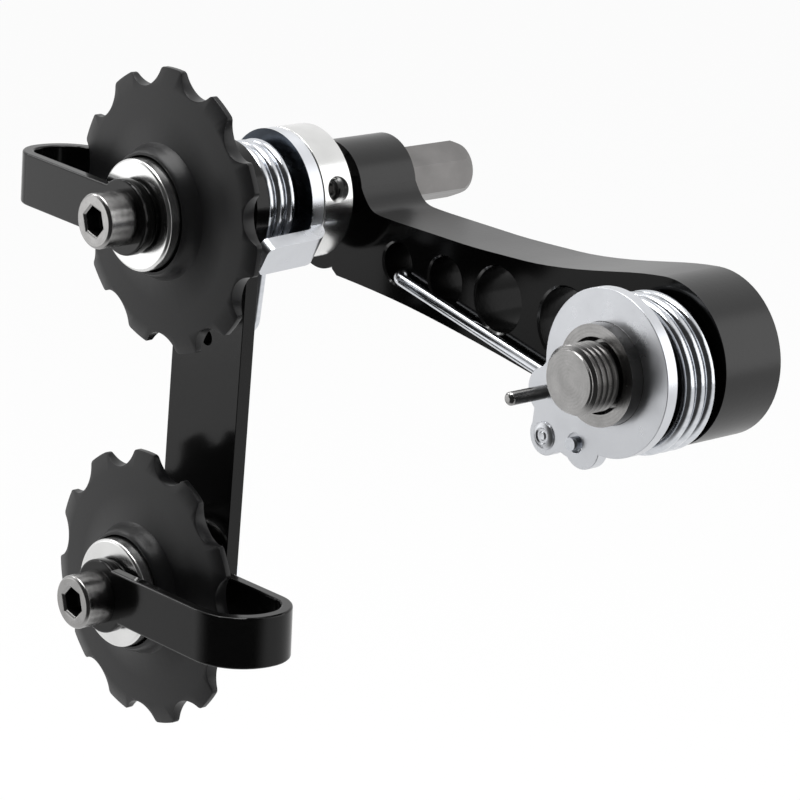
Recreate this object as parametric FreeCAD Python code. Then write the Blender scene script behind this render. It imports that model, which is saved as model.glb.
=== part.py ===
import FreeCAD, Part
import math
import os

# Bicycle chain tensioner for a frame without a derailleur.
# Units are millimetres and +Z is up. The origin is the centre of the shoulder
# face that meets the frame's hanger, on the axis of the M10 mount bolt.
# Every axle runs along Y: the hanger is on the -Y side, the wheel side is +Y.

V = FreeCAD.Vector

# Main layout, taken from the fitted photograph.
shaft_x = -72.3            # hexagon shaft axis, from the mount axis
shaft_z = 15.4
lower_x = shaft_x - 7.4    # lower pulley axis
lower_z = shaft_z - 59.8
chain_y = -18.22           # middle plane of both pulleys

# Chain and pulleys: half inch pitch, eleven teeth.
teeth = 11
chain_pitch = 12.7
seat_radius = 4.0
seat_offset = 0.3
tip_radius = 21.55
tip_half = 0.45            # the teeth thin over tip_taper out to the tip
tip_taper = 2.95
tip_corner = 0.7
tooth_half = 1.1
cone_radius = 14.9
ridge_inner = 8.75
ridge_outer = 9.8
ridge_half = 4.4
ridge_foot = 2.9
bearing_radius = 5.25
hub_radius = 7.4
hub_half = 3.1
upper_phase = 85.4
lower_phase = 87.5

# Running and assembly clearances.
running = 0.05
slip = 0.05

# Mount bolt and its bush.
m10_radius = 5.0
thread_end = -5.2
undercut_radius = 4.3
undercut_from = 0.0
shank_radius = 4.95
bush_radius = 7.3
bush_bore = 5.0
bush_mouth = 6.1
mount_head_radius = 8.0
mount_head_length = 2.5
mount_socket_depth = 4.5
washer_radius = 10.0

# Mount stop plate.
plate_front = 2.09
plate_thick = 1.9
plate_radius = 12.05
pin_x = -12.15
pin_z = -4.75
pin_radius = 1.0
pin_tip = -5.2
pin_neck_from = 1.9        # behind this the pin is turned down to fit the plate
pin_neck_radius = 0.6
stud_x = -12.3
stud_z = -11.2
stud_pin = 1.2             # its rear pin is the stop that the arm rests on
hook_x = -6.0
hook_z = -11.1

# Arm: a flat casting of constant thickness.
arm_front = 13.43
arm_thick = 11.0
boss_radius = 7.22
mount_boss_radius = 12.2
lug_x = shaft_x - 4.0
lug_z = shaft_z - 7.65
lug_radius = 6.0
lug_step = 1.0

# Hexagon shaft, collar and cage stop plate.
hex_flats = 8.0
hex_turn = -4.0
shaft_start = 0.95
shaft_end = 39.4
shaft_chamfer = 1.7
shaft_end_radius = 4.0
stop_front = 1.05
stop_thick = 2.15
collar_radius = 10.3
collar_width = 6.05
collar_screw_angle = 9.5
tab_angle = -34.0
tab_inner = 10.6
tab_width = 5.4
tab_reach = -9.2
tab_splay = 3.0            # degrees that the tab opens outwards
tab_bend = 0.85            # inner radius of its bend

# Cage plate, hub and pulley stack.
cage_front = -9.3
cage_thick = 2.4
cage_half_width = 8.3
cage_head_radius = 9.8
leg_hole_down = 21.3
hub_outer = 6.4
sleeve_outer = 3.5
sleeve_bore = 2.55
m5_radius = 2.47
m5_head_radius = 4.15
m5_head_length = 5.05
m5_socket = 4.0
m5_reach = 43.0
strip_thick = 1.8
strip_height = 8.1
eye_radius = 5.75
guard_lip = 0.55           # the rear leg turns in this far outside the dust cover
guard_corner = 2.0

# The two guards: outer end from the axle, radii of the two end bends, how far the
# rear leg turns in and where it has done so, slope in degrees and rise of the strip.
upper_guard_far = 28.4
upper_front_bend = 4.6
upper_rear_bend = 8.7
upper_turn_in = 4.4
upper_turn_end = 19.5
upper_guard_slope = 6.0
upper_guard_rise = 0.0
lower_guard_far = 32.2
lower_front_bend = 8.7
lower_rear_bend = 5.9
lower_turn_in = 3.04
lower_turn_end = 13.0
lower_guard_slope = 4.0
lower_guard_rise = 0.93

# Dust covers and spacers.
cover_radius = 8.45
cover_wall = 0.65
cover_top = 0.9
cover_half_outer = 6.45
spacer_length = 0.57
cover_half_inner = 2.3
spacer_radius = 5.2
face_gap = 0.05
guard_outer = cover_half_outer + face_gap + spacer_length + face_gap + strip_thick

# Springs.
wire = 0.95
knuckle = 0.02             # how far the bend at each end of a coil stands proud
leg_end_inset = 1.4        # the cage spring's leg ends below the plate's face
spring_guide_radius = 8.3
arm_coil_radius = 10.6
arm_coil_drop = -1.0
arm_coil_pitch = 2.05
cage_coil_radius = 8.05
cage_coil_pitch = 2.05


def cyl(y0, y1, radius, x=0.0, z=0.0):
    return Part.makeCylinder(radius, y1 - y0, V(x, y0, z), V(0, 1, 0))


def tube(y0, y1, outer, inner, x=0.0, z=0.0):
    return cyl(y0, y1, outer, x, z).cut(cyl(y0 - 1, y1 + 1, inner, x, z))


def cone(y0, r0, y1, r1, x=0.0, z=0.0):
    return Part.makeCone(r0, r1, y1 - y0, V(x, y0, z), V(0, 1, 0))


def hexagon(y0, y1, flats, turn, x=0.0, z=0.0):
    corner = flats / math.sqrt(3.0)
    points = []
    for i in range(7):
        a = math.radians(turn + 30.0 + 60.0 * i)
        points.append(V(x + corner * math.cos(a), y0, z + corner * math.sin(a)))
    face = Part.Face(Part.makePolygon(points))
    return face.extrude(V(0, y1 - y0, 0))


def revolved(points, x=0.0, z=0.0):
    # points are (radius, y) pairs of a closed outline, turned about the axle
    outline = [V(x + r, y, z) for r, y in points]
    outline.append(outline[0])
    face = Part.Face(Part.makePolygon(outline))
    return face.revolve(V(x, 0, z), V(0, 1, 0), 360)


def rod(points, bends, radius):
    # round rod along straight runs, each inner corner bent to its own radius
    pieces = []
    here = points[0]
    for corner, after, bend in zip(points[1:-1], points[2:], bends):
        into = (corner - here).normalize()
        out = (after - corner).normalize()
        axis = into.cross(out).normalize()
        angle = into.getAngle(out)
        setback = bend * math.tan(angle / 2.0)
        start = corner - into * setback
        pieces.append(Part.makeCylinder(radius, (start - here).Length, here, into))
        disc = Part.Face(Part.Wire(Part.makeCircle(radius, start, into)))
        centre = start + axis.cross(into) * bend
        pieces.append(disc.revolve(centre, axis, math.degrees(angle)))
        here = corner + out * setback
    last = points[-1] - here
    pieces.append(Part.makeCylinder(radius, last.Length, here, last))
    return pieces[0].fuse(pieces[1:])


def joined(first, *others):
    for shape in others:
        first = first.fuse(shape)
    return first


def coil_wire(points, radius):
    curve = Part.BSplineCurve()
    curve.interpolate(points)
    tangent = curve.tangent(curve.FirstParameter)[0]
    circle = Part.Wire(Part.makeCircle(radius, points[0], tangent))
    return Part.Wire(curve.toShape()).makePipeShell([circle], True, True)


def socket_screw(x, z, head_y, length):
    # socket head cap screw, head at the -Y end
    head = cyl(head_y, head_y + m5_head_length, m5_head_radius, x, z)
    head = head.makeChamfer(0.35, [e for e in head.Edges if e.BoundBox.YMax < head_y + 0.01])
    screw = head.fuse(cyl(head_y + m5_head_length, head_y + length, m5_radius, x, z))
    return screw.cut(hexagon(head_y - 1, head_y + 2.6, m5_socket, 12.0, x, z))


# Mount side.
bush_rear = arm_front + arm_thick + 0.7
thread = cyl(thread_end + 0.6, undercut_from, m10_radius)
thread = thread.fuse(cone(thread_end, m10_radius - 0.6, thread_end + 0.6, m10_radius))
undercut = cyl(undercut_from, plate_front, undercut_radius)
shank = cyl(plate_front, bush_rear, shank_radius)
head = cyl(bush_rear + 0.02, bush_rear + mount_head_length, mount_head_radius)
head = head.makeFillet(0.8, [e for e in head.Edges if e.BoundBox.YMin > bush_rear + 1.0 and e.Closed])
head = head.fuse(cyl(bush_rear - 0.1, bush_rear + 0.1, shank_radius))
mount_bolt = thread.fuse(undercut).fuse(shank).fuse(head)
head_end = bush_rear + mount_head_length
socket = hexagon(head_end - mount_socket_depth, head_end + 1, 6.0, 0.0)
mount_bolt = mount_bolt.cut(socket).removeSplitter()

pivot_bush = tube(0.0, bush_rear, bush_radius, bush_bore)
pivot_bush = pivot_bush.cut(cone(-0.01, bush_mouth, 1.6, bush_bore))
pivot_bush = pivot_bush.cut(cyl(-0.5, 0.0, bush_mouth))

washer_from = arm_front + arm_thick + 0.06
pivot_washer = tube(washer_from, bush_rear - 0.04, washer_radius, bush_radius + running)

plate_rear = plate_front + plate_thick
stop = cyl(plate_front, plate_rear, plate_radius)
stop = stop.fuse(cyl(plate_front, plate_rear, 3.6, pin_x + 0.1, pin_z))
stop = stop.fuse(cyl(plate_front, plate_rear, 2.9, stud_x, stud_z))
stop = stop.fuse(cyl(plate_front, plate_rear, 3.6, hook_x + 1.2, hook_z))
web = [(-4.0, -14.6), (-9.0, -13.0), (-13.0, -14.0), (-15.1, -11.6),
       (-14.4, -7.6), (-15.6, -4.6), (-10.0, 2.0), (0.0, 0.0)]
web_wire = Part.makePolygon([V(x, plate_front, z) for x, z in web + web[:1]])
stop = stop.fuse(Part.Face(web_wire).extrude(V(0, plate_thick, 0)))
stop = stop.cut(cyl(0, 6, bush_radius))
stop = stop.cut(cyl(0, 6, pin_neck_radius, pin_x, pin_z))
stop = stop.cut(cyl(0, 6, 1.5, stud_x, stud_z))
stop = stop.cut(cyl(0, 6, 1.45, hook_x, hook_z))
mount_stop_plate = stop.removeSplitter()

anchor_pin = cyl(pin_tip + 0.4, pin_neck_from, pin_radius, pin_x, pin_z)
anchor_pin = anchor_pin.fuse(cyl(pin_neck_from, plate_rear + 0.5, pin_neck_radius, pin_x, pin_z))
anchor_pin = anchor_pin.fuse(cone(pin_tip, 0.6, pin_tip + 0.4, pin_radius, pin_x, pin_z))

stop_stud = cyl(plate_front - 0.35, plate_front, 2.1, stud_x, stud_z)
stop_stud = stop_stud.fuse(cyl(plate_front, plate_rear, 1.5, stud_x, stud_z))
stop_stud = stop_stud.fuse(cyl(plate_rear, plate_rear + 1.5, 2.1, stud_x, stud_z))
stop_stud = stop_stud.fuse(cyl(plate_rear, arm_front + 4.0, stud_pin, stud_x, stud_z))

spring_guide = tube(plate_rear + 0.05, arm_front - 0.35, spring_guide_radius, bush_radius + running)

# Arm.
arm_rear = arm_front + arm_thick


def along(share):
    # a place along the arm, as a share of the way from the mount to the shaft
    return shaft_x * share


top_edge = [(shaft_x + 7.21, shaft_z + 0.6), (along(0.889), 14.6), (along(0.867), 12.95),
            (along(0.830), 12.25), (along(0.765), 11.8), (along(0.676), 11.3), (along(0.566), 10.65),
            (along(0.452), 10.3), (along(0.373), 10.15), (along(0.277), 10.4), (along(0.180), 11.05),
            (along(0.083), 11.85), (-0.5, 12.19)]
bottom_edge = [(-2.4, -11.96), (along(0.249), -8.6), (along(0.456), -5.1), (along(0.629), -2.45),
               (along(0.746), -0.85), (along(0.874), 0.55), (along(0.985), 1.5)]


def edge_curve(points):
    curve = Part.BSplineCurve()
    curve.interpolate([V(x, arm_front, z) for x, z in points])
    return curve.toShape()


def straight(a, b):
    return Part.makeLine(V(a[0], arm_front, a[1]), V(b[0], arm_front, b[1]))


left_low = (shaft_x, 2.4)
left_high = (shaft_x, shaft_z)
arm_outline = Part.Wire([edge_curve(top_edge),
                         straight(top_edge[-1], bottom_edge[0]),
                         edge_curve(bottom_edge),
                         straight(bottom_edge[-1], left_low),
                         straight(left_low, left_high),
                         straight(left_high, top_edge[0])])
arm = Part.Face(arm_outline).extrude(V(0, arm_thick, 0))
arm = arm.fuse(cyl(arm_front, arm_rear, mount_boss_radius))
arm = arm.fuse(cyl(arm_front, arm_rear, boss_radius, shaft_x, shaft_z))
lug_front = arm_front + lug_step
lug = cyl(lug_front, arm_rear, lug_radius, lug_x, lug_z)
flank = [(shaft_x - 7.1, shaft_z + 1.2), (lug_x - 5.87, lug_z + 1.2),
         (lug_x, lug_z - lug_radius), (shaft_x, 2.9), (shaft_x, shaft_z)]
flank_wire = Part.makePolygon([V(x, lug_front, z) for x, z in flank + flank[:1]])
flank_body = Part.Face(flank_wire).extrude(V(0, arm_rear - lug_front, 0))
arm = arm.fuse(lug).fuse(flank_body).removeSplitter()
arm_holes = [(along(0.787), 5.5, 3.2), (along(0.638), 4.5, 3.65),
             (along(0.476), 3.4, 4.95), (along(0.275), 1.8, 5.75)]
for x, z, radius in arm_holes:
    arm = arm.cut(cyl(arm_front - 1, arm_rear + 1, radius, x, z))
    arm = arm.cut(cone(arm_front - 0.01, radius + 0.3, arm_front + 0.3, radius, x, z))
arm = arm.cut(cyl(arm_front - 1, arm_rear + 1, bush_radius + running))
arm = arm.cut(hexagon(arm_front - 1, arm_rear + 1, hex_flats + 2 * slip, hex_turn, shaft_x, shaft_z))
lock_y = arm_front + 5.5
lock_hole = Part.makeCylinder(2.0, 6.0, V(shaft_x - 9.5, lock_y, shaft_z), V(1, 0, 0))
arm = arm.cut(lock_hole)

shaft_lock_screw = Part.makeCylinder(1.97, 3.0, V(shaft_x - 7.3, lock_y, shaft_z), V(1, 0, 0))
lock_socket = hexagon(0, 1.4, 2.0, 0.0)
lock_socket.rotate(V(0, 0, 0), V(0, 0, 1), -90)
lock_socket.translate(V(shaft_x - 7.35, lock_y, shaft_z))
shaft_lock_screw = shaft_lock_screw.cut(lock_socket)

# Shaft side.
hex_shaft = hexagon(shaft_start, shaft_end, hex_flats, hex_turn, shaft_x, shaft_z)
chamfer_from = shaft_end - shaft_chamfer
end_limit = cyl(shaft_start - 1, chamfer_from, 6.0, shaft_x, shaft_z)
end_limit = end_limit.fuse(cone(chamfer_from, hex_flats / math.sqrt(3.0) + 0.03, shaft_end, shaft_end_radius,
                                shaft_x, shaft_z))
hex_shaft = hex_shaft.common(end_limit)
bolt_end = chain_y - guard_outer + m5_reach
hex_shaft = hex_shaft.cut(cyl(shaft_start - 1, bolt_end + 2.0, 2.5, shaft_x, shaft_z))

stop_rear = stop_front + stop_thick
cage_stop_plate = cyl(stop_front, stop_rear, collar_radius, shaft_x, shaft_z)
tab_outer = tab_inner + stop_thick
half = tab_width / 2.0
lean = math.tan(math.radians(tab_splay))
tab_side = [(7.0, stop_rear), (tab_outer, stop_rear),
            (tab_outer + lean * (stop_rear - tab_reach), tab_reach),
            (tab_inner + lean * (stop_front - tab_reach), tab_reach),
            (tab_inner, stop_front), (7.0, stop_front)]
tab_wire = Part.makePolygon([V(x, y, -half) for x, y in tab_side + tab_side[:1]])
tab = Part.Face(tab_wire).extrude(V(0, 0, tab_width))
for at_x, at_y, bend in [(tab_outer, stop_rear, tab_bend + stop_thick), (tab_inner, stop_front, tab_bend)]:
    corner = [e for e in tab.Edges
              if abs(e.BoundBox.ZLength - tab_width) < 0.01 and abs(e.BoundBox.XMax - at_x) < 0.01
              and abs(e.BoundBox.YMax - at_y) < 0.01]
    tab = tab.makeFillet(bend, corner)
tip_edges = [e for e in tab.Edges
             if abs(e.BoundBox.YMax - tab_reach) < 0.01 and e.BoundBox.XLength > 1.0]
tab = tab.makeFillet(1.2, tip_edges)
tab.rotate(V(0, 0, 0), V(0, 1, 0), -tab_angle)
tab.translate(V(shaft_x, 0, shaft_z))
cage_stop_plate = cage_stop_plate.fuse(tab).removeSplitter()
stop_bore = hexagon(stop_front - 1, stop_rear + 1, hex_flats + 2 * slip, hex_turn, shaft_x, shaft_z)
cage_stop_plate = cage_stop_plate.cut(stop_bore)
end_angle = math.radians(150.0)
hook_at_x = shaft_x + cage_coil_radius * math.cos(end_angle)
hook_at_z = shaft_z + cage_coil_radius * math.sin(end_angle)
cage_stop_plate = cage_stop_plate.cut(cyl(0, 5, wire + 0.3, hook_at_x, hook_at_z))

collar_from = stop_rear + 0.02
collar_to = collar_from + collar_width
collar = cyl(collar_from, collar_to, collar_radius, shaft_x, shaft_z)
collar = collar.makeChamfer(0.3, [e for e in collar.Edges if e.Closed])
collar = collar.cut(cyl(collar_from - 1, collar_to + 1, 4.7, shaft_x, shaft_z))
collar_mid = (collar_from + collar_to) / 2.0
aim = math.radians(collar_screw_angle)
outward = V(math.cos(aim), 0, math.sin(aim))
axis_point = V(shaft_x, collar_mid, shaft_z)
collar = collar.cut(Part.makeCylinder(2.0, 9.0, axis_point + outward * 3.0, outward))

collar_screw = Part.makeCylinder(1.97, 3.4, axis_point + outward * 4.72, outward)
screw_socket = hexagon(0, 1.8, 2.0, 0.0)
screw_socket.rotate(V(0, 0, 0), V(0, 0, 1), -90)
screw_socket.translate(V(4.72 + 3.4 - 1.6, 0, 0))
screw_socket.rotate(V(0, 0, 0), V(0, 1, 0), -collar_screw_angle)
screw_socket.translate(axis_point)
collar_screw = collar_screw.cut(screw_socket)

# Cage plate and guards.
down = V(lower_x - shaft_x, 0, lower_z - shaft_z)
cage_length = down.Length
tilt = math.degrees(math.atan2(-(lower_x - shaft_x), -(lower_z - shaft_z)))
cage_rear = cage_front + cage_thick

# drawn hanging straight down from the shaft axis, then tilted
bar_corner = V(-cage_half_width, cage_front, -cage_length)
bar = Part.makeBox(2 * cage_half_width, cage_thick, cage_length, bar_corner)
foot = cyl(cage_front, cage_rear, cage_half_width, 0, -cage_length)
cage = bar.fuse(foot).fuse(cyl(cage_front, cage_rear, cage_head_radius))
cage = cage.removeSplitter()
cage = cage.cut(cyl(cage_front - 1, cage_rear + 1, 5.0))
cage = cage.cut(cyl(cage_front - 1, cage_rear + 1, m5_radius + 0.1, 0, -cage_length))
cage = cage.cut(cyl(cage_front - 1, cage_rear + 1, wire + 0.25, 0, -leg_hole_down))
cage.rotate(V(0, 0, 0), V(0, 1, 0), tilt)
cage.translate(V(shaft_x, 0, shaft_z))
cage_plate = cage

hub_front = cage_front + 0.05
cage_hub = cyl(cage_rear, shaft_start - 0.25, hub_outer, shaft_x, shaft_z)
cage_hub = cage_hub.fuse(cyl(hub_front, cage_rear, 5.0, shaft_x, shaft_z))
cage_hub = cage_hub.cut(cyl(hub_front - 1, 3, sleeve_outer + running, shaft_x, shaft_z))

leg_front = chain_y - guard_outer
leg_rear = chain_y + guard_outer


def guard(x, z, side, bore, far, front_bend, rear_bend, turn_in, turn_end, slope, rise):
    # a flat strip bent into a loop round the pulley, with an eye on each leg; it is
    # drawn towards +X on the origin's axle, its rear leg turned in by turn_in
    t = strip_thick
    lip = cover_radius + guard_lip
    outside = [(0, leg_front), (far, leg_front), (far, leg_rear - turn_in), (turn_end, leg_rear - turn_in),
               (lip, leg_rear), (0, leg_rear)]
    inside = [(0, leg_rear - t), (lip - 0.3, leg_rear - t), (turn_end - 0.3, leg_rear - turn_in - t),
              (far - t, leg_rear - turn_in - t), (far - t, leg_front + t), (0, leg_front + t)]
    bottom = rise - strip_height / 2.0
    outline = outside + inside
    wire_loop = Part.makePolygon([V(px, py, bottom) for px, py in outline + outline[:1]])
    strip = Part.Face(wire_loop).extrude(V(0, 0, strip_height))
    bends = [front_bend, rear_bend, guard_corner, guard_corner + t,
             guard_corner, guard_corner + t, rear_bend - t, front_bend - t]
    corners = outside[1:5] + inside[1:5]
    for (px, py), bend in zip(corners, bends):
        edge = [e for e in strip.Edges
                if e.BoundBox.ZLength > strip_height - 0.01
                and abs(e.BoundBox.XMin - px) < 0.01 and abs(e.BoundBox.YMin - py) < 0.01
                and e.BoundBox.XLength < 0.01 and e.BoundBox.YLength < 0.01]
        strip = strip.makeFillet(bend, edge)
    if side < 0:
        strip = strip.mirror(V(0, 0, 0), V(1, 0, 0))
    strip.rotate(V(0, 0, 0), V(0, 1, 0), slope)
    strip = strip.fuse(cyl(leg_front, leg_front + t, eye_radius))
    strip = strip.fuse(cyl(leg_rear - t, leg_rear, eye_radius)).removeSplitter()
    strip = strip.cut(cyl(leg_front - 5, leg_rear + 5, bore))
    strip.translate(V(x, 0, z))
    return strip


upper_guard = guard(shaft_x, shaft_z, -1, sleeve_outer + running, upper_guard_far, upper_front_bend,
                    upper_rear_bend, upper_turn_in, upper_turn_end, upper_guard_slope, upper_guard_rise)
lower_guard = guard(lower_x, lower_z, 1, m5_radius + 0.1, lower_guard_far, lower_front_bend,
                    lower_rear_bend, lower_turn_in, lower_turn_end, lower_guard_slope, lower_guard_rise)


def cover(x, z, side):
    # polished dust cover: a shallow cup whose rim points at the pulley
    outer = cover_half_outer - 0.3
    points = [(sleeve_outer + running, cover_half_outer), (cover_radius - 0.3, cover_half_outer),
              (cover_radius, outer), (cover_radius, cover_half_inner),
              (cover_radius - cover_wall, cover_half_inner),
              (cover_radius - cover_wall, cover_half_outer - cover_top),
              (sleeve_outer + running, cover_half_outer - cover_top)]
    return revolved([(r, chain_y + side * y) for r, y in points], x, z)


def spacer(x, z, side):
    near = cover_half_outer + face_gap
    y0 = min(chain_y + side * near, chain_y + side * (near + spacer_length))
    return tube(y0, y0 + spacer_length, spacer_radius, sleeve_outer + running, x, z)


def pulley(x, z, phase):
    # half of the section, from the bore outwards; the other half is its mirror image
    section = [(bearing_radius, hub_half), (hub_radius, hub_half), (hub_radius, 1.3), (ridge_inner, 1.3),
               (ridge_inner, ridge_half), (ridge_inner + 0.4, ridge_half - 0.05),
               (ridge_inner + 0.8, ridge_half - 0.6), (ridge_outer, ridge_foot),
               (ridge_outer + 0.6, ridge_foot - 1.0), (cone_radius, tooth_half),
               (tip_radius - tip_taper, tooth_half), (tip_radius, tip_half)]
    points = [(r, -y) for r, y in section] + [(r, y) for r, y in reversed(section)]
    wheel = revolved([(r, chain_y + y) for r, y in points], x, z)
    pitch_radius = chain_pitch / (2.0 * math.sin(math.pi / teeth))
    seat_at = pitch_radius + seat_offset
    for i in range(teeth):
        a = math.radians(phase + 360.0 / teeth * (i + 0.5))
        cx = x + seat_at * math.cos(a)
        cz = z + seat_at * math.sin(a)
        wheel = wheel.cut(cyl(chain_y - 3, chain_y + 3, seat_radius, cx, cz))
    along_axle = [e for e in wheel.Edges if e.BoundBox.XLength < 0.01 and e.BoundBox.ZLength < 0.01]
    corner_edges = [e for e in along_axle
                    if e.BoundBox.YLength > 2 * tip_half - 0.05
                    and math.hypot(e.BoundBox.XMin - x, e.BoundBox.ZMin - z) > tip_radius - 0.1]
    return wheel.makeFillet(tip_corner, corner_edges)


upper_pulley = pulley(shaft_x, shaft_z, upper_phase)
lower_pulley = pulley(lower_x, lower_z, lower_phase)


def pulley_bush(x, z):
    half = cover_half_outer - cover_top - face_gap
    return tube(chain_y - half, chain_y + half, bearing_radius, sleeve_outer + running, x, z)


upper_bush = pulley_bush(shaft_x, shaft_z)
lower_bush = pulley_bush(lower_x, lower_z)

head_y = leg_front - m5_head_length - 0.02
upper_bolt = socket_screw(shaft_x, shaft_z, head_y, m5_head_length + m5_reach)
lower_bolt = socket_screw(lower_x, lower_z, head_y, cage_rear + 4.6 - head_y)
upper_sleeve = tube(leg_front, shaft_start, sleeve_outer, sleeve_bore, shaft_x, shaft_z)
lower_sleeve = tube(leg_front + strip_thick + 0.02, leg_rear - strip_thick - 0.02,
                    sleeve_outer, sleeve_bore, lower_x, lower_z)
lower_nut = hexagon(cage_rear + 0.02, cage_rear + 4.0, 8.0, 10.0, lower_x, lower_z)
nut_limit = cone(cage_rear - 0.5, 5.6, cage_rear + 4.0, 4.15, lower_x, lower_z)
nut_limit = nut_limit.fuse(cyl(cage_rear - 0.5, cage_rear + 3.3, 4.7, lower_x, lower_z))
lower_nut = lower_nut.common(nut_limit).cut(cyl(cage_rear - 1, 0, m5_radius + 0.03, lower_x, lower_z))

# Springs.


def coil(cx, cz, radius, angle0, angle1, y0, y1):
    steps = max(8, int(abs(angle1 - angle0) / 15.0))
    points = []
    for i in range(steps + 1):
        t = i / float(steps)
        a = math.radians(angle0 + (angle1 - angle0) * t)
        points.append(V(cx + radius * math.cos(a), y0 + (y1 - y0) * t, cz + radius * math.sin(a)))
    return points


hole1_x = along(0.787) + 0.9
hole1_z = 3.9
arm_y0 = arm_front - 0.25 - wire
arm_turns = (689.0 + 360.0) / 360.0
arm_y1 = arm_y0 - arm_turns * arm_coil_pitch
arm_coil = coil(0, arm_coil_drop, arm_coil_radius, -104.0, 945.0, arm_y0, arm_y1)
arm_hook = rod([V(hole1_x, arm_front + 5.0, hole1_z), V(hole1_x, arm_y0, hole1_z), arm_coil[0]],
               [1.8], wire)
arm_tail = rod([arm_coil[-1], V(hook_x, arm_y1 - 0.3, hook_z), V(hook_x, plate_front - 1.0, hook_z)],
               [1.4], wire)
arm_spring = joined(coil_wire(arm_coil, wire), Part.makeSphere(wire + knuckle, arm_coil[0]), arm_hook,
                    Part.makeSphere(wire + knuckle, arm_coil[-1]), arm_tail)

cage_y0 = cage_rear + 0.1 + wire
cage_turns = (720.0 + 150.0 + 8.0) / 360.0
cage_y1 = cage_y0 + cage_turns * cage_coil_pitch
cage_coil = coil(shaft_x, shaft_z, cage_coil_radius, -8.0, 870.0, cage_y0, cage_y1)
turn = math.radians(tilt)
leg_hole_x = shaft_x - leg_hole_down * math.sin(turn)
leg_hole_z = shaft_z - leg_hole_down * math.cos(turn)
cage_leg = rod([V(leg_hole_x, cage_front + leg_end_inset, leg_hole_z), V(leg_hole_x, cage_y0, leg_hole_z),
                V(shaft_x + 4.3, cage_y0, shaft_z - 18.6), cage_coil[0]], [1.5, 2.0], wire)
cage_tail = cyl(cage_y1, stop_rear - 0.2, wire, hook_at_x, hook_at_z)
cage_spring = joined(coil_wire(cage_coil, wire), Part.makeSphere(wire + knuckle, cage_coil[0]), cage_leg,
                     Part.makeSphere(wire + knuckle, cage_coil[-1]), cage_tail)

nodes = {
    "mount_bolt": mount_bolt,
    "pivot_bush": pivot_bush,
    "pivot_washer": pivot_washer,
    "mount_stop_plate": mount_stop_plate,
    "anchor_pin": anchor_pin,
    "stop_stud": stop_stud,
    "spring_guide": spring_guide,
    "arm": arm,
    "shaft_lock_screw": shaft_lock_screw,
    "hex_shaft": hex_shaft,
    "cage_stop_plate": cage_stop_plate,
    "collar": collar,
    "collar_screw": collar_screw,
    "cage_plate": cage_plate,
    "cage_hub": cage_hub,
    "upper_guard": upper_guard,
    "lower_guard": lower_guard,
    "upper_front_cover": cover(shaft_x, shaft_z, -1),
    "upper_rear_cover": cover(shaft_x, shaft_z, 1),
    "lower_front_cover": cover(lower_x, lower_z, -1),
    "lower_rear_cover": cover(lower_x, lower_z, 1),
    "upper_front_spacer": spacer(shaft_x, shaft_z, -1),
    "upper_rear_spacer": spacer(shaft_x, shaft_z, 1),
    "lower_front_spacer": spacer(lower_x, lower_z, -1),
    "lower_rear_spacer": spacer(lower_x, lower_z, 1),
    "upper_pulley": upper_pulley,
    "lower_pulley": lower_pulley,
    "upper_bush": upper_bush,
    "lower_bush": lower_bush,
    "upper_bolt": upper_bolt,
    "lower_bolt": lower_bolt,
    "upper_sleeve": upper_sleeve,
    "lower_sleeve": lower_sleeve,
    "lower_nut": lower_nut,
    "arm_spring": arm_spring,
    "cage_spring": cage_spring,
}

os.makedirs("parts", exist_ok=True)
for name, shape in nodes.items():
    solids = shape.Solids
    if len(solids) == 1:
        shape = solids[0]
    print(name, len(solids), shape.isValid(), round(shape.Volume, 1),
          [round(v, 2) for v in (shape.BoundBox.XMin, shape.BoundBox.XMax, shape.BoundBox.YMin,
                                 shape.BoundBox.YMax, shape.BoundBox.ZMin, shape.BoundBox.ZMax)])
    shape.exportStep("parts/" + name + ".step")
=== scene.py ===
import math
import bpy
import bmesh
from mathutils import Matrix, Vector


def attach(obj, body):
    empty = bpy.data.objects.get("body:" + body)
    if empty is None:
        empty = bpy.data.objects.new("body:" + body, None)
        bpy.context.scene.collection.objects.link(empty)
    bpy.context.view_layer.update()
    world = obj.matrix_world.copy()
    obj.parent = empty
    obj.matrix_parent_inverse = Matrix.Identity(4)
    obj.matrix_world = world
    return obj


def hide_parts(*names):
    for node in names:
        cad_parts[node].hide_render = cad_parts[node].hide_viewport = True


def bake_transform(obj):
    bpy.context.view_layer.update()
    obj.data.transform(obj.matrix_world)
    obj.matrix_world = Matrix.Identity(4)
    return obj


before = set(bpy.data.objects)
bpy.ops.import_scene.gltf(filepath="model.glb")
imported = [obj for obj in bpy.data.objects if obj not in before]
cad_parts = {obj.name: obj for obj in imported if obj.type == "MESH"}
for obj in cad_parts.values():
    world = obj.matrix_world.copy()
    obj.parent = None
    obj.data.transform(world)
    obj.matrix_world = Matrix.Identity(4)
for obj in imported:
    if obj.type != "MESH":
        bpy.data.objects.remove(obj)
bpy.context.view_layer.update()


# Studio: a camera at the photograph's view, a white sweep, a large lamp overhead,
# softer ones at both sides and a small one for the edges. The tensioner hangs in
# the air, as it does on the bicycle, so the floor lies well below it.
def colour(code):
    # sRGB hex to linear
    parts = [int(code[i:i + 2], 16) / 255.0 for i in (1, 3, 5)]
    return tuple(c / 12.92 if c <= 0.04045 else ((c + 0.055) / 1.055) ** 2.4 for c in parts) + (1.0,)


def add(tree, kind, inputs=None, **settings):
    # a node with its settings, its values and its links
    node = tree.nodes.new(kind)
    for key, value in settings.items():
        setattr(node, key, value)
    for key, value in (inputs or {}).items():
        socket = node.inputs[key]
        if isinstance(value, bpy.types.NodeSocket):
            tree.links.new(value, socket)
        else:
            socket.default_value = value
    return node


def blank(name):
    # a new material and its node tree, still empty
    material = bpy.data.materials.new(name)
    material.use_nodes = True
    material.node_tree.nodes.clear()
    return material, material.node_tree


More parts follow.
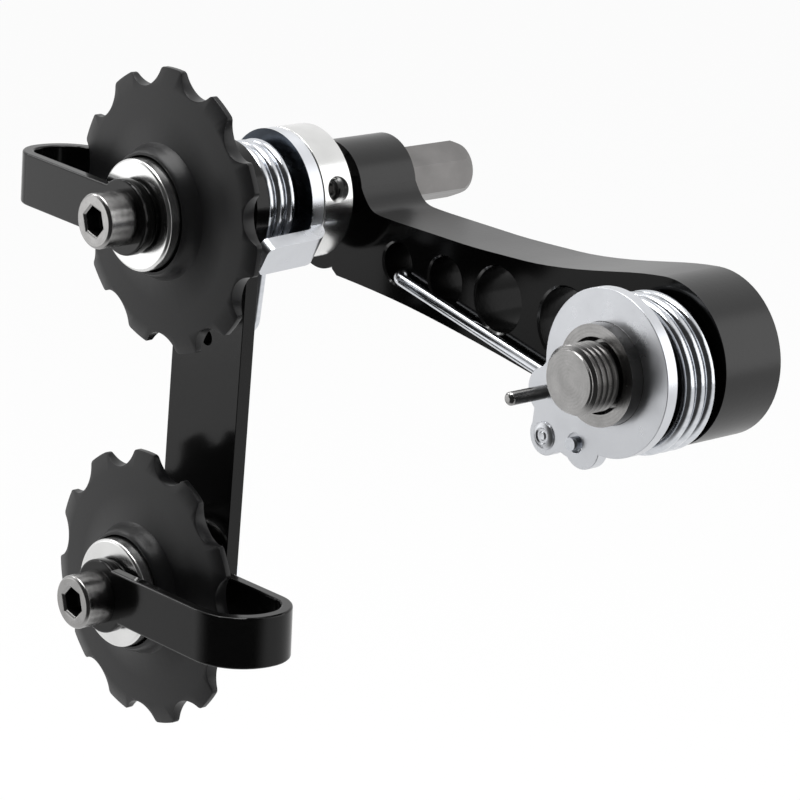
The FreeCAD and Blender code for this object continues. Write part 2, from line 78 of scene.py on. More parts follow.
azimuth = math.radians(48.72)
elevation = math.radians(13.44)
roll = math.radians(0.06)
distance = 0.52053
target = Vector((-0.0409, 0.0, -0.01083))
focal_pixels = 3529.9
picture_pixels = 800.0
sensor_width = 36.0
back = Vector((math.sin(azimuth) * math.cos(elevation), -math.cos(azimuth) * math.cos(elevation),
               math.sin(elevation)))
right = Vector((math.cos(azimuth), math.sin(azimuth), 0.0))
up = back.cross(right)
right, up = right * math.cos(roll) + up * math.sin(roll), up * math.cos(roll) - right * math.sin(roll)
turn = Matrix((right, up, back)).transposed().to_4x4()
camera_data = bpy.data.cameras.new("camera")
camera_data.sensor_width = sensor_width
camera_data.lens = focal_pixels / picture_pixels * sensor_width
camera_data.clip_start = 0.02
camera = bpy.data.objects.new("camera", camera_data)
camera.matrix_world = Matrix.Translation(target + back * distance) @ turn
bpy.context.scene.collection.objects.link(camera)
bpy.context.scene.camera = camera
bpy.context.scene.view_settings.view_transform = "Standard"

lit_point = Vector((-0.04, 0.0, -0.01))
for name, place, size, power in [
        ("lamp_top", (-0.12, -0.06, 0.70), 0.50, 4.8),
        ("lamp_right", (0.70, 0.52, 0.16), 1.00, 3.1),
        ("lamp_left", (-0.70, -0.62, 0.10), 0.60, 0.8),
        ("lamp_edge", (-0.70, -0.20, 0.58), 0.16, 0.6)]:
    lamp_data = bpy.data.lights.new(name, "AREA")
    lamp_data.shape = "SQUARE"
    lamp_data.size = size
    lamp_data.energy = power
    lamp = bpy.data.objects.new(name, lamp_data)
    lamp.visible_camera = False
    aim = (Vector(place) - lit_point).to_track_quat("Z", "Y").to_matrix().to_4x4()
    lamp.matrix_world = Matrix.Translation(place) @ aim
    bpy.context.scene.collection.objects.link(lamp)

# The sweep is white all round but for the camera's side, which is dark: that gives
# the black coat its depth and the plated parts their dark bands.
dark_wall = (0.60, -0.80, 0.05)
world = bpy.data.worlds.new("studio")
bpy.context.scene.world = world
world.use_nodes = True
sky = world.node_tree
sky.nodes.clear()
around = add(sky, "ShaderNodeTexCoord")
facing = add(sky, "ShaderNodeVectorMath", {0: around.outputs["Generated"], 1: dark_wall},
             operation="DOT_PRODUCT")
falloff = add(sky, "ShaderNodeMapRange", {"Value": facing.outputs["Value"], "From Min": -0.05,
                                          "From Max": 0.48, "To Min": 0.98, "To Max": 0.04},
              interpolation_type="SMOOTHSTEP")
rays = add(sky, "ShaderNodeLightPath")
shown = add(sky, "ShaderNodeMath", {0: rays.outputs["Is Camera Ray"], 1: falloff.outputs["Result"]},
            operation="MAXIMUM")
backdrop = add(sky, "ShaderNodeBackground", {"Color": colour("#ffffff"), "Strength": shown.outputs["Value"]})
add(sky, "ShaderNodeOutputWorld", {"Surface": backdrop.outputs["Background"]})

# The sweep's floor looks white to the camera, lights the part as plain paper does and
# is mirrored in it as the walls are, dark on the camera's side.
dark_floor = (0.52, -0.85, 0.0)
floor_depth = 0.20
floor_reach = 3.0
white, tree = blank("white_sweep_paper")
paper = add(tree, "ShaderNodeBsdfDiffuse", {"Color": colour("#f4f4f4")})
rays = add(tree, "ShaderNodeLightPath")
place = add(tree, "ShaderNodeTexCoord")
side = add(tree, "ShaderNodeVectorMath", {0: place.outputs["Object"]}, operation="NORMALIZE")
facing = add(tree, "ShaderNodeVectorMath", {0: side.outputs["Vector"], 1: dark_floor},
             operation="DOT_PRODUCT")
falloff = add(tree, "ShaderNodeMapRange", {"Value": facing.outputs["Value"], "From Min": 0.12,
                                           "From Max": 0.62, "To Min": 0.95, "To Max": 0.05},
              interpolation_type="SMOOTHSTEP")
strength = add(tree, "ShaderNodeMath", {0: rays.outputs["Is Camera Ray"], 1: falloff.outputs["Result"]},
               operation="MAXIMUM")
glow = add(tree, "ShaderNodeEmission", {"Color": colour("#ffffff"), "Strength": strength.outputs["Value"]})
seen = add(tree, "ShaderNodeMath", {0: rays.outputs["Is Camera Ray"], 1: 0.92}, operation="MULTIPLY")
share = add(tree, "ShaderNodeMath", {0: seen.outputs["Value"], 1: rays.outputs["Is Glossy Ray"]},
            operation="MAXIMUM")
both = add(tree, "ShaderNodeMixShader", {0: share.outputs["Value"], 1: paper.outputs["BSDF"],
                                         2: glow.outputs["Emission"]})
add(tree, "ShaderNodeOutputMaterial", {"Surface": both.outputs["Shader"]})
bm = bmesh.new()
bmesh.ops.create_grid(bm, x_segments=1, y_segments=1, size=floor_reach)
bmesh.ops.translate(bm, verts=bm.verts, vec=(0, 0, -floor_depth))
floor_mesh = bpy.data.meshes.new("floor")
bm.to_mesh(floor_mesh)
bm.free()
floor_mesh.materials.append(white)
floor = bpy.data.objects.new("floor", floor_mesh)
bpy.context.scene.collection.objects.link(floor)


# Mount bolt: an M10x1 bolt, turned from steel bar and left bare. Its thread goes
# forward into the hanger; the shank and the socket head are behind. The fine
# thread is a true helix here, 1 mm a turn.
def copied(node):
    # the node's own shape in millimetres, welded, with its flat faces whole
    bm = bmesh.new()
    bm.from_mesh(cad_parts[node].data)
    bmesh.ops.scale(bm, vec=(1000, 1000, 1000), verts=bm.verts)
    bmesh.ops.remove_doubles(bm, verts=bm.verts, dist=0.001)
    bmesh.ops.dissolve_limit(bm, angle_limit=math.radians(0.5), verts=bm.verts, edges=bm.edges)
    return bm


def corners(bm):
    # the edges that a finger would feel
    return [e for e in bm.edges if len(e.link_faces) == 2 and e.calc_face_angle() > math.radians(35)]


def broken(bm, width, steps=2, edges=None):
    # crisp edges taken off, as a deburring tool or a coat of paint leaves them
    bmesh.ops.bevel(bm, geom=corners(bm) if edges is None else edges, offset=width, segments=steps,
                    affect="EDGES", profile=0.5, material=-1, clamp_overlap=True)
    return bm


def finished(bm, name, material, body, slot, replaced=(), smooth=30.0, flat=True):
    # millimetres to metres, one object at the origin, smooth but for its edges; a
    # large flat face stays flat up to the fine strips round it
    barely_bent = 3.0
    strip_ratio = 10.0
    bmesh.ops.scale(bm, vec=(0.001, 0.001, 0.001), verts=bm.verts)
    for face in bm.faces:
        face.smooth = True
    for edge in bm.edges:
        if len(edge.link_faces) == 2:
            bend = math.degrees(edge.calc_face_angle(0.0))
            small, large = sorted(face.calc_area() for face in edge.link_faces)
            alike = large < strip_ratio * small or not flat
            edge.smooth = bend < barely_bent or (bend < smooth and alike)
    mesh = bpy.data.meshes.new(name)
    bm.to_mesh(mesh)
    bm.free()
    mesh.materials.append(material)
    piece = bpy.data.objects.new(name, mesh)
    bpy.context.scene.collection.objects.link(piece)
    if body:
        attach(piece, body)
    if replaced:
        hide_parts(*replaced)
    return piece


def spun(bm, points, centre, axis, turns=1.0, rise=0.0, per_turn=64):
    # a line of points swept round an axle; with a rise it becomes a screw thread
    line = [bm.verts.new(p) for p in points]
    edges = [bm.edges.new(pair) for pair in zip(line, line[1:])]
    bmesh.ops.spin(bm, geom=line + edges, cent=centre, axis=axis, angle=math.radians(360.0 * turns),
                   steps=int(per_turn * turns), dvec=Vector(axis) * (rise / per_turn), use_merge=rise == 0.0)
    bmesh.ops.remove_doubles(bm, verts=bm.verts, dist=0.0005)


def cut(bm, at, normal, clear=True):
    # a flat cut; what lies beyond it goes, if it is to be cleared
    bmesh.ops.bisect_plane(bm, geom=bm.verts[:] + bm.edges[:] + bm.faces[:], dist=0.0001, plane_co=at,
                           plane_no=normal, clear_outer=clear)


def capped(bm, at, normal):
    # cut square, with the open end closed
    cut(bm, at, normal)
    rim = [e for e in bm.edges if e.is_boundary]
    bmesh.ops.holes_fill(bm, edges=rim, sides=0)


def off_axle(point, x=0.0, z=0.0):
    # how far a point is from an axle
    return math.hypot(point.x - x, point.z - z)


# Bare turned steel: fine rings from the lathe on every end face, and a slightly
# warm grey. The rings are drawn 0.5 mm apart so that they show. A noise scale, here
# and below, is the number of grains in a metre.
ring_spacing = 0.0005
steel, tree = blank("turned_steel")
place = add(tree, "ShaderNodeTexCoord")
centre = add(tree, "ShaderNodeMapping", {"Vector": place.outputs["Object"]})
rings = add(tree, "ShaderNodeTexWave", {"Vector": centre.outputs["Vector"],
                                        "Scale": math.pi / 10.0 / ring_spacing, "Distortion": 1.8,
                                        "Detail": 2.0, "Detail Scale": 900.0},
            wave_type="RINGS", rings_direction="Y")
grit = add(tree, "ShaderNodeTexNoise", {"Vector": centre.outputs["Vector"], "Scale": 900.0, "Detail": 4.0})
stain = add(tree, "ShaderNodeTexNoise", {"Vector": centre.outputs["Vector"], "Scale": 420.0, "Detail": 5.0})
lathe = add(tree, "ShaderNodeMapping", {"Vector": centre.outputs["Vector"], "Scale": (0.08, 1.0, 0.08)})
bands = add(tree, "ShaderNodeTexNoise", {"Vector": lathe.outputs["Vector"], "Scale": 1300.0, "Detail": 3.0})
mixed = add(tree, "ShaderNodeMix", {"Factor": 0.40, 2: stain.outputs["Fac"], 3: bands.outputs["Fac"]})
tint = add(tree, "ShaderNodeMix", {"Factor": mixed.outputs[0], 6: colour("#727170"), 7: colour("#b9b8b7")},
           data_type="RGBA")
rough = add(tree, "ShaderNodeMapRange", {"Value": grit.outputs["Fac"], "To Min": 0.14, "To Max": 0.32})
turned = add(tree, "ShaderNodeMix", {"Factor": 0.70, 2: rings.outputs["Fac"], 3: bands.outputs["Fac"]})
marks = add(tree, "ShaderNodeMix", {"Factor": 0.50, 2: turned.outputs[0], 3: grit.outputs["Fac"]})
relief = add(tree, "ShaderNodeBump", {"Height": marks.outputs[0], "Strength": 0.30, "Distance": 0.00004})
metal = add(tree, "ShaderNodeBsdfPrincipled", {"Base Color": tint.outputs[2], "Metallic": 1.0,
                                               "Roughness": rough.outputs["Result"],
                                               "Normal": relief.outputs["Normal"]})
add(tree, "ShaderNodeOutputMaterial", {"Surface": metal.outputs["BSDF"]})

thread_front = -5.2
thread_rear = 0.1
thread_pitch = 1.0
thread_turns = 8.5
run_in = 1.6
lead_radius = 4.35
lead_slope = 1.05
flank = [(4.39, 0.0), (4.42, 0.12), (4.66, 0.25), (4.90, 0.38), (5.0, 0.45)]
ridge = flank + [(radius, thread_pitch - along) for radius, along in reversed(flank)]
bm = bmesh.new()
spun(bm, [(radius, thread_front - run_in + along, 0.0) for radius, along in ridge], (0, 0, 0), (0, 1, 0),
     turns=thread_turns, rise=thread_pitch, per_turn=72)
cut(bm, (0, thread_rear, 0), (0, 1, 0))
for above in (0.6, 0.3):
    # rings of points that the lead chamfer can take its slope from
    cut(bm, (0, thread_front + above, 0), (0, 1, 0), clear=False)
capped(bm, (0, thread_front, 0), (0, -1, 0))
for vert in bm.verts:
    # the lead chamfer at the tip
    radius = off_axle(vert.co)
    limit = lead_radius + (vert.co.y - thread_front) * lead_slope
    if radius > limit:
        vert.co.x *= limit / radius
        vert.co.z *= limit / radius
bmesh.ops.recalc_face_normals(bm, faces=bm.faces)
thread = bpy.data.meshes.new("thread")
bm.to_mesh(thread)
bm.free()
bm = copied("mount_bolt")
capped(bm, (0, thread_rear, 0), (0, -1, 0))
broken(bm, 0.12)
bm.from_mesh(thread)
bpy.data.meshes.remove(thread)
finished(bm, "mount_bolt_threaded", steel, "mount", "steel", ["mount_bolt"])


# Pivot bush and washer: the steel bush that the arm turns on, whose front ring is
# the shoulder face, and a thin moulded washer behind the arm.
def remade(node, way, width, material, body, slot, steps=2, **shading):
    # a CAD node's own shape with its edges broken, in the node's place
    bm = broken(copied(node), width, steps)
    return finished(bm, node + "_" + way, material, body, slot, [node], **shading)


lip_reach = 6.5
lip_radius = 5.5
bm = copied("pivot_bush")
for vert in bm.verts:
    radius = off_axle(vert.co)
    if vert.co.y < 0.01 and radius < lip_reach:
        # the mouth's lip is drawn in close round the thread
        vert.co.x *= lip_radius / radius
        vert.co.z *= lip_radius / radius
finished(broken(bm, 0.12), "pivot_bush_turned", steel, "mount", "steel", ["pivot_bush"])

# Black moulded nylon: even and slightly grained, with a soft sheen.
nylon, tree = blank("moulded_nylon")
place = add(tree, "ShaderNodeTexCoord")
spark = add(tree, "ShaderNodeTexNoise", {"Vector": place.outputs["Object"], "Scale": 1400.0, "Detail": 2.0})
wash = add(tree, "ShaderNodeTexNoise", {"Vector": place.outputs["Object"], "Scale": 90.0, "Detail": 3.0})
tint = add(tree, "ShaderNodeMix", {"Factor": wash.outputs["Fac"], 6: colour("#151516"),
                                   7: colour("#1d1d1e")}, data_type="RGBA")
rough = add(tree, "ShaderNodeMapRange", {"Value": wash.outputs["Fac"], "To Min": 0.28, "To Max": 0.40})
relief = add(tree, "ShaderNodeBump", {"Height": spark.outputs["Fac"], "Strength": 0.22, "Distance": 0.00003})
resin = add(tree, "ShaderNodeBsdfPrincipled", {"Base Color": tint.outputs[2], "Specular IOR Level": 0.26,
                                               "Roughness": rough.outputs["Result"],
                                               "Normal": relief.outputs["Normal"]})
add(tree, "ShaderNodeOutputMaterial", {"Surface": resin.outputs["BSDF"]})
remade("pivot_washer", "moulded", 0.1, nylon, "mount", "black_plastic")

# Mount stop plate: stamped from 1.9 mm sheet with two lobes and zinc plated. Its
# 2 mm pin meets the hanger; the peened stud beside it carries the arm's stop. The
# plating is bright and a little blue, with cloudy patches.
zinc, tree = blank("blue_zinc_plate")
place = add(tree, "ShaderNodeTexCoord")
cloud = add(tree, "ShaderNodeTexNoise", {"Vector": place.outputs["Object"], "Scale": 190.0, "Detail": 5.0})
grain = add(tree, "ShaderNodeTexNoise", {"Vector": place.outputs["Object"], "Scale": 1500.0, "Detail": 3.0})
tint = add(tree, "ShaderNodeMix", {"Factor": cloud.outputs["Fac"], 6: colour("#c2c4c8"),
                                   7: colour("#dee0e4")}, data_type="RGBA")
rough = add(tree, "ShaderNodeMapRange", {"Value": cloud.outputs["Fac"], "From Min": 0.3, "From Max": 0.7,
                                         "To Min": 0.24, "To Max": 0.40})
relief = add(tree, "ShaderNodeBump", {"Height": grain.outputs["Fac"], "Strength": 0.16, "Distance": 0.00003})
metal = add(tree, "ShaderNodeBsdfPrincipled", {"Base Color": tint.outputs[2], "Metallic": 1.0,
                                               "Roughness": rough.outputs["Result"],
                                               "Normal": relief.outputs["Normal"]})
add(tree, "ShaderNodeOutputMaterial", {"Surface": metal.outputs["BSDF"]})
remade("mount_stop_plate", "stamped", 0.42, zinc, "mount", "zinc", steps=4)
remade("anchor_pin", "turned", 0.15, steel, "mount", "steel")

# The stud's head, from its middle out: a small boss, a groove and a rounded rim.
stud_x = -12.3
stud_z = -11.2
plate_front = 2.09
peen = [(0.0, -0.42), (0.50, -0.46), (0.72, -0.26), (1.02, -0.26), (1.25, -0.46), (1.70, -0.40),
        (2.02, -0.22), (2.10, 0.0), (1.4, 0.02)]
bm = copied("stop_stud")
capped(bm, (0, plate_front - 0.05, 0), (0, -1, 0))
spun(bm, [(stud_x + radius, plate_front + along, stud_z) for radius, along in peen], (stud_x, 0, stud_z),
     (0, 1, 0), per_turn=48)
bmesh.ops.recalc_face_normals(bm, faces=bm.faces)
finished(bm, "stop_stud_peened", zinc, "mount", "zinc", ["stop_stud"], smooth=35.0)

# Arm spring: 1.9 mm spring wire, zinc plated and bright, three turns round a black
# sleeve. One end is hooked into the stop plate and the other into a hole in the
# arm, so the wire twists between them.
remade("spring_guide", "moulded", 0.15, nylon, "mount", "black_plastic")
wire, tree = blank("plated_spring_wire")
place = add(tree, "ShaderNodeTexCoord")
along = add(tree, "ShaderNodeMapping", {"Vector": place.outputs["Object"], "Scale": (1.0, 0.25, 1.0)})
drawn = add(tree, "ShaderNodeTexNoise", {"Vector": along.outputs["Vector"], "Scale": 900.0, "Detail": 3.0})
tint = add(tree, "ShaderNodeMix", {"Factor": drawn.outputs["Fac"], 6: colour("#b4b8be"),
                                   7: colour("#e6e8ec")}, data_type="RGBA")
rough = add(tree, "ShaderNodeMapRange", {"Value": drawn.outputs["Fac"], "To Min": 0.08, "To Max": 0.20})
relief = add(tree, "ShaderNodeBump", {"Height": drawn.outputs["Fac"], "Strength": 0.10,
                                      "Distance": 0.00003})
metal = add(tree, "ShaderNodeBsdfPrincipled", {"Base Color": tint.outputs[2], "Metallic": 1.0,
                                               "Roughness": rough.outputs["Result"],
                                               "Normal": relief.outputs["Normal"]})
add(tree, "ShaderNodeOutputMaterial", {"Surface": metal.outputs["BSDF"]})
arm_spring = finished(copied("arm_spring"), "arm_spring_wound", wire, None, "zinc", ["arm_spring"],
                      smooth=50.0)
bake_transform(arm_spring)

# Arm: a flat aluminium casting, 11 mm thick, with four lightening holes and a black
# coat, thick enough to round every edge. Its tint and shine are painted by which way the surface
# faces. The machined faces are glossy but painted darker, with little shine (painted shade). The rounded
# edges get strong shine (painted highlight), and the grainy sides get a paler painted tone.
painted_facing_coat, tree = blank("black_coat_painted_by_facing")
place = add(tree, "ShaderNodeTexCoord")
skin = add(tree, "ShaderNodeNewGeometry")
across = add(tree, "ShaderNodeSeparateXYZ", {"Vector": skin.outputs["Normal"]})
level = add(tree, "ShaderNodeMath", {0: across.outputs["Y"]}, operation="ABSOLUTE")
# front and back faces: painted shade, a darker tint and less shine
front_back_shade_mask = add(tree, "ShaderNodeMapRange", {"Value": level.outputs["Value"], "From Min": 0.93,
                                         "From Max": 0.99})
# rounded edges: painted highlight with more shine; the grainy sides get a paler painted tone
edge_highlight_mask = add(tree, "ShaderNodeMapRange", {"Value": level.outputs["Value"], "From Min": 0.06, "From Max": 0.25})
peel = add(tree, "ShaderNodeTexNoise", {"Vector": place.outputs["Object"], "Scale": 1500.0, "Detail": 3.0})
wash = add(tree, "ShaderNodeTexNoise", {"Vector": place.outputs["Object"], "Scale": 70.0, "Detail": 3.0})
satin = add(tree, "ShaderNodeMapRange", {"Value": wash.outputs["Fac"], "To Min": 0.26, "To Max": 0.34})
rough = add(tree, "ShaderNodeMix", {"Factor": edge_highlight_mask.outputs["Result"], 2: satin.outputs["Result"], 3: 0.13})
side = add(tree, "ShaderNodeMix", {"Factor": edge_highlight_mask.outputs["Result"], 2: 0.42, 3: 0.80})
painted_shine = add(tree, "ShaderNodeMix", {"Factor": front_back_shade_mask.outputs["Result"], 2: side.outputs[0], 3: 0.11})
tint = add(tree, "ShaderNodeMix", {"Factor": front_back_shade_mask.outputs["Result"], 6: colour("#0d0d0d"),
                                   7: colour("#040404")}, data_type="RGBA")
depth = add(tree, "ShaderNodeMix", {"Factor": front_back_shade_mask.outputs["Result"], 2: 0.30, 3: 0.05})
relief = add(tree, "ShaderNodeBump", {"Height": peel.outputs["Fac"], "Strength": depth.outputs[0],
                                      "Distance": 0.00004})
coat = add(tree, "ShaderNodeBsdfPrincipled", {"Base Color": tint.outputs[2], "Roughness": rough.outputs[0],
                                              "Normal": relief.outputs["Normal"],
                                              "Specular IOR Level": painted_shine.outputs[0]})
add(tree, "ShaderNodeOutputMaterial", {"Surface": coat.outputs["BSDF"]})

# The walls of the holes get a darker, duller coat: painted shade in the recesses.
hole_shade_coat, tree = blank("hole_painted_shade_coat")
place = add(tree, "ShaderNodeTexCoord")
peel = add(tree, "ShaderNodeTexNoise", {"Vector": place.outputs["Object"], "Scale": 1500.0, "Detail": 3.0})
relief = add(tree, "ShaderNodeBump", {"Height": peel.outputs["Fac"], "Strength": 0.30, "Distance": 0.00004})
coat = add(tree, "ShaderNodeBsdfPrincipled", {"Base Color": colour("#050505"), "Roughness": 0.22,
                                              "Normal": relief.outputs["Normal"],
                                              "Specular IOR Level": 0.12})
add(tree, "ShaderNodeOutputMaterial", {"Surface": coat.outputs["BSDF"]})

# Each hole's axle and radius; the last two take the bush and the hexagon shaft.
shaft_x = -72.3
shaft_z = 15.4
lightening_holes = [(-56.9, 5.5, 3.2), (-46.13, 4.5, 3.65), (-34.41, 3.4, 4.95), (-19.88, 1.8, 5.75)]
arm_holes = lightening_holes + [(0.0, 0.0, 7.35), (shaft_x, shaft_z, 4.7)]
bm = copied("arm")
outline = [e for e in corners(bm)
           if all(off_axle(v.co, x, z) > radius + 0.5 for v in e.verts for x, z, radius in arm_holes)]
broken(bm, 0.8, steps=4, edges=outline)
broken(bm, 0.04)
# faces on the hole walls take the painted-shade coat, slot 1
for face in bm.faces:
    middle = face.calc_center_median()
    in_hole = any(off_axle(middle, x, z) < radius + 0.1 for x, z, radius in arm_holes)
    if abs(face.normal.y) < 0.1 and in_hole:
        face.material_index = 1
arm = finished(bm, "arm_coated", painted_facing_coat, "arm", "black_coat", ["arm"])
arm.data.materials.append(hole_shade_coat)
remade("shaft_lock_screw", "set", 0.06, steel, "arm", "steel")

# Hexagon shaft: 8 mm drawn bar, left bare, with its corners turned off at the end.
# The drawing die leaves fine streaks along the flats.
bar, tree = blank("drawn_steel_bar")
place = add(tree, "ShaderNodeTexCoord")
along = add(tree, "ShaderNodeMapping", {"Vector": place.outputs["Object"], "Scale": (1.0, 0.04, 1.0)})
streak = add(tree, "ShaderNodeTexNoise", {"Vector": along.outputs["Vector"], "Scale": 2200.0, "Detail": 3.0})
stain = add(tree, "ShaderNodeTexNoise", {"Vector": place.outputs["Object"], "Scale": 170.0, "Detail": 4.0})
tint = add(tree, "ShaderNodeMix", {"Factor": stain.outputs["Fac"], 6: colour("#656463"),
                                   7: colour("#8e8c8b")}, data_type="RGBA")
rough = add(tree, "ShaderNodeMapRange", {"Value": streak.outputs["Fac"], "To Min": 0.24, "To Max": 0.44})
relief = add(tree, "ShaderNodeBump", {"Height": streak.outputs["Fac"], "Strength": 0.20,
                                      "Distance": 0.00003})
metal = add(tree, "ShaderNodeBsdfPrincipled", {"Base Color": tint.outputs[2], "Metallic": 1.0,
                                               "Roughness": rough.outputs["Result"],
                                               "Normal": relief.outputs["Normal"]})
add(tree, "ShaderNodeOutputMaterial", {"Surface": metal.outputs["BSDF"]})
remade("hex_shaft", "drawn", 0.15, bar, "shaft", "steel", smooth=15.0)

# Cage stop plate: a stamped and plated disc on the hexagon, with a tab bent
# forward. The cage rests on the tab. The flat face under the spring is painted blue-black, a painted dark
# reflection of the spring and pulley it faces.
seat_painted_reflection, tree = blank("spring_seat_painted_reflection")
place = add(tree, "ShaderNodeTexCoord")
cloud = add(tree, "ShaderNodeTexNoise", {"Vector": place.outputs["Object"], "Scale": 240.0, "Detail": 5.0})
tint = add(tree, "ShaderNodeMix", {"Factor": cloud.outputs["Fac"], 6: colour("#30353c"),
                                   7: colour("#575d66")}, data_type="RGBA")
rough = add(tree, "ShaderNodeMapRange", {"Value": cloud.outputs["Fac"], "To Min": 0.20, "To Max": 0.36})
metal = add(tree, "ShaderNodeBsdfPrincipled", {"Base Color": tint.outputs[2], "Metallic": 1.0,
                                               "Roughness": rough.outputs["Result"]})
add(tree, "ShaderNodeOutputMaterial", {"Surface": metal.outputs["BSDF"]})

seat_front = 1.05
seat_radius = 9.9
bm = broken(copied("cage_stop_plate"), 0.35, steps=3)
# the flat face inside the seat radius takes the painted dark reflection, slot 1
for face in bm.faces:
    middle = face.calc_center_median()
    on_seat = abs(middle.y - seat_front) < 0.01 and off_axle(middle, shaft_x, shaft_z) < seat_radius
    if face.normal.y < -0.99 and on_seat:
        face.material_index = 1
stop_disc = finished(bm, "cage_stop_plate_stamped", zinc, "shaft", "zinc", ["cage_stop_plate"])
stop_disc.data.materials.append(seat_painted_reflection)


# Collar: turned aluminium, polished bright, clamped on the hexagon by an M4 set
# screw in its side. The tapped hole has its real thread, 0.7 mm a turn. The faint
# turning rings are 0.4 mm apart so that they show.
def centred(material, name, x, z):
    # the same finish with its turning marks round another axle
    copy = material.copy()
    copy.name = name
    for node in copy.node_tree.nodes:
        if node.type == "MAPPING":
            node.inputs["Location"].default_value = (-x * 0.001, 0.0, -z * 0.001)
    return copy


ring_spacing = 0.0004
alloy, tree = blank("polished_aluminium")
place = add(tree, "ShaderNodeTexCoord")
centre = add(tree, "ShaderNodeMapping", {"Vector": place.outputs["Object"]})
rings = add(tree, "ShaderNodeTexWave", {"Vector": centre.outputs["Vector"],
                                        "Scale": math.pi / 10.0 / ring_spacing, "Distortion": 0.6},
            wave_type="RINGS", rings_direction="Y")
cloud = add(tree, "ShaderNodeTexNoise", {"Vector": centre.outputs["Vector"], "Scale": 260.0, "Detail": 4.0})
tint = add(tree, "ShaderNodeMix", {"Factor": cloud.outputs["Fac"], 6: colour("#d3d3d2"),
                                   7: colour("#e8e8e7")}, data_type="RGBA")
rough = add(tree, "ShaderNodeMapRange", {"Value": cloud.outputs["Fac"], "To Min": 0.14, "To Max": 0.26})
relief = add(tree, "ShaderNodeBump", {"Height": rings.outputs["Fac"], "Strength": 0.025,
                                      "Distance": 0.00003})
metal = add(tree, "ShaderNodeBsdfPrincipled", {"Base Color": tint.outputs[2], "Metallic": 1.0,
                                               "Roughness": rough.outputs["Result"],
                                               "Normal": relief.outputs["Normal"]})
add(tree, "ShaderNodeOutputMaterial", {"Surface": metal.outputs["BSDF"]})
shaft_alloy = centred(alloy, "polished_aluminium_shaft", shaft_x, shaft_z)
remade("collar", "turned", 0.12, shaft_alloy, "shaft", "polished_alloy")

screw_aim = math.radians(9.5)
outward = Vector((math.cos(screw_aim), 0.0, math.sin(screw_aim)))
screw_axis = Vector((shaft_x, 6.245, shaft_z))
tapped_radius = 2.04
crest_radius = 1.68
screw_pitch = 0.7
groove = [(7.9, tapped_radius), (8.2, crest_radius), (8.3, crest_radius), (8.6, tapped_radius)]
bm = bmesh.new()
spun(bm, [screw_axis + outward * reach + Vector((0, radius, 0)) for reach, radius in groove], screw_axis,
     outward, turns=2.0, rise=screw_pitch, per_turn=40)
bmesh.ops.recalc_face_normals(bm, faces=bm.faces)
bmesh.ops.solidify(bm, geom=bm.faces, thickness=-0.05)
finished(bm, "collar_tapped_thread", shaft_alloy, "shaft", "polished_alloy")
remade("collar_screw", "set", 0.08, steel, "shaft", "zinc")

# Cage plate: 2.4 mm steel strip, coated satin black, turning on a steel hub. The
# coat is even and fine, with a slight orange peel.
black, tree = blank("satin_black_coat")
place = add(tree, "ShaderNodeTexCoord")
peel = add(tree, "ShaderNodeTexNoise", {"Vector": place.outputs["Object"], "Scale": 700.0, "Detail": 3.0})
wash = add(tree, "ShaderNodeTexNoise", {"Vector": place.outputs["Object"], "Scale": 70.0, "Detail": 3.0})
tint = add(tree, "ShaderNodeMix", {"Factor": wash.outputs["Fac"], 6: colour("#060606"),
                                   7: colour("#0b0b0b")}, data_type="RGBA")
rough = add(tree, "ShaderNodeMapRange", {"Value": wash.outputs["Fac"], "To Min": 0.10, "To Max": 0.18})
relief = add(tree, "ShaderNodeBump", {"Height": peel.outputs["Fac"], "Strength": 0.16, "Distance": 0.00004})
coat = add(tree, "ShaderNodeBsdfPrincipled", {"Base Color": tint.outputs[2], "Specular IOR Level": 0.25,
                                              "Roughness": rough.outputs["Result"],
                                              "Normal": relief.outputs["Normal"]})
add(tree, "ShaderNodeOutputMaterial", {"Surface": coat.outputs["BSDF"]})
remade("cage_plate", "coated", 0.35, black, "cage", "black_coat", steps=3)
shaft_steel = centred(steel, "turned_steel_shaft", shaft_x, shaft_z)
remade("cage_hub", "turned", 0.1, shaft_steel, "cage", "steel")

# Cage spring: 1.9 mm plated wire in two and a half turns. Its leg ends in the
# cage plate's hole and its tail in the stop plate, so it twists between them.
cage_spring = finished(copied("cage_spring"), "cage_spring_wound", wire, None, "zinc", ["cage_spring"],
                       smooth=50.0)
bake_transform(cage_spring)

# Chain guards: steel strip, 8 x 1.8 mm, bent into a loop with an eye on each leg
# and coated black like the plate. The axle bolts clamp them.
for guard in ("upper_guard", "lower_guard"):
    remade(guard, "coated", 0.3, black, "cage", "black_coat", steps=3)

# Dust covers: aluminium cups, turned and polished to a mirror. A thin black
# coated spacer stands between each and its guard.
lower_x = -79.7
lower_z = -44.4
lower_alloy = centred(alloy, "polished_aluminium_lower", lower_x, lower_z)
for height, polish in (("upper", shaft_alloy), ("lower", lower_alloy)):
    for end in ("front", "rear"):
        remade(height + "_" + end + "_cover", "polished", 0.12, polish, "cage", "polished_alloy")
        remade(height + "_" + end + "_spacer", "coated", 0.08, black, "cage", "black_coat")

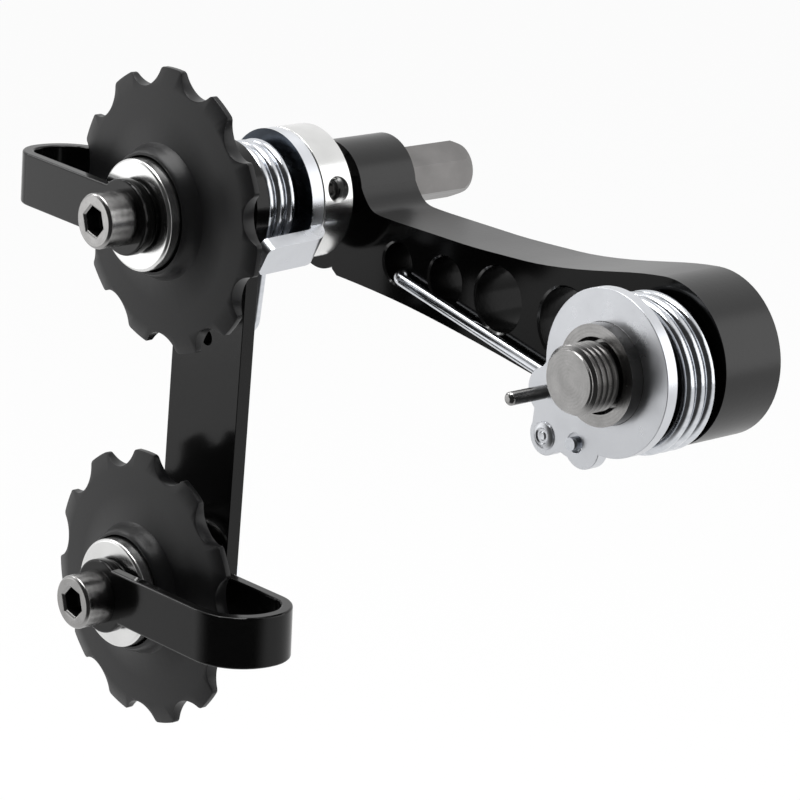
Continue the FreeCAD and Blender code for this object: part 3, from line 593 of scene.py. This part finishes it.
# Pulleys: eleven teeth, moulded in black nylon, each on a sintered bronze bush
# whose oil-filled pores leave it dull.
bronze, tree = blank("sintered_bronze")
place = add(tree, "ShaderNodeTexCoord")
pores = add(tree, "ShaderNodeTexNoise", {"Vector": place.outputs["Object"], "Scale": 1800.0, "Detail": 3.0})
tint = add(tree, "ShaderNodeMix", {"Factor": pores.outputs["Fac"], 6: colour("#7d6238"),
                                   7: colour("#b08d55")}, data_type="RGBA")
relief = add(tree, "ShaderNodeBump", {"Height": pores.outputs["Fac"], "Strength": 0.3, "Distance": 0.00004})
metal = add(tree, "ShaderNodeBsdfPrincipled", {"Base Color": tint.outputs[2], "Roughness": 0.48,
                                               "Normal": relief.outputs["Normal"], "Metallic": 1.0})
add(tree, "ShaderNodeOutputMaterial", {"Surface": metal.outputs["BSDF"]})
for height in ("upper", "lower"):
    remade(height + "_pulley", "moulded", 0.18, nylon, height + "_wheel", "black_plastic", flat=False)
    remade(height + "_bush", "sintered", 0.1, bronze, height + "_wheel", "bronze")

# Axle bolts: M5 socket head screws in bare steel, with the socket's mouth
# chamfered. The upper one runs on a sleeve into the shaft; the lower one ends in
# a plated nut behind the cage plate. The broached sockets' walls are painted darker and duller: painted
# shade in the recess.
socket_shade_steel, tree = blank("socket_painted_shade_steel")
place = add(tree, "ShaderNodeTexCoord")
socket_mottle = add(tree, "ShaderNodeTexNoise", {"Vector": place.outputs["Object"], "Scale": 800.0, "Detail": 3.0})
tint = add(tree, "ShaderNodeMix", {"Factor": socket_mottle.outputs["Fac"], 6: colour("#454545"),
                                   7: colour("#6c6b6a")}, data_type="RGBA")
metal = add(tree, "ShaderNodeBsdfPrincipled", {"Base Color": tint.outputs[2], "Roughness": 0.38,
                                               "Metallic": 1.0})
add(tree, "ShaderNodeOutputMaterial", {"Surface": metal.outputs["BSDF"]})

head_front = -32.21
mouth_radius = 2.6
mouth_chamfer = 0.32
socket_radius = 2.35
socket_depth = 2.7
lower_steel = centred(steel, "turned_steel_lower", lower_x, lower_z)
for height, axle_x, axle_z, body, bare in (("upper", shaft_x, shaft_z, "shaft", shaft_steel),
                                           ("lower", lower_x, lower_z, "cage", lower_steel)):
    bm = copied(height + "_bolt")
    mouth = [e for e in bm.edges if all(v.co.y < head_front + 0.01 for v in e.verts)
             and all(off_axle(v.co, axle_x, axle_z) < mouth_radius for v in e.verts)]
    broken(bm, mouth_chamfer, steps=1, edges=mouth)
    broken(bm, 0.12)
    # socket walls below the chamfer take the painted-shade steel, slot 1
    for face in bm.faces:
        middle = face.calc_center_median()
        deep_in = head_front + mouth_chamfer + 0.02 < middle.y < head_front + socket_depth
        if deep_in and off_axle(middle, axle_x, axle_z) < socket_radius:
            face.material_index = 1
    bolt = finished(bm, height + "_bolt_turned", bare, body, "steel", [height + "_bolt"])
    bolt.data.materials.append(socket_shade_steel)
    remade(height + "_sleeve", "turned", 0.1, bare, body, "steel")
remade("lower_nut", "plated", 0.12, zinc, "cage", "zinc")
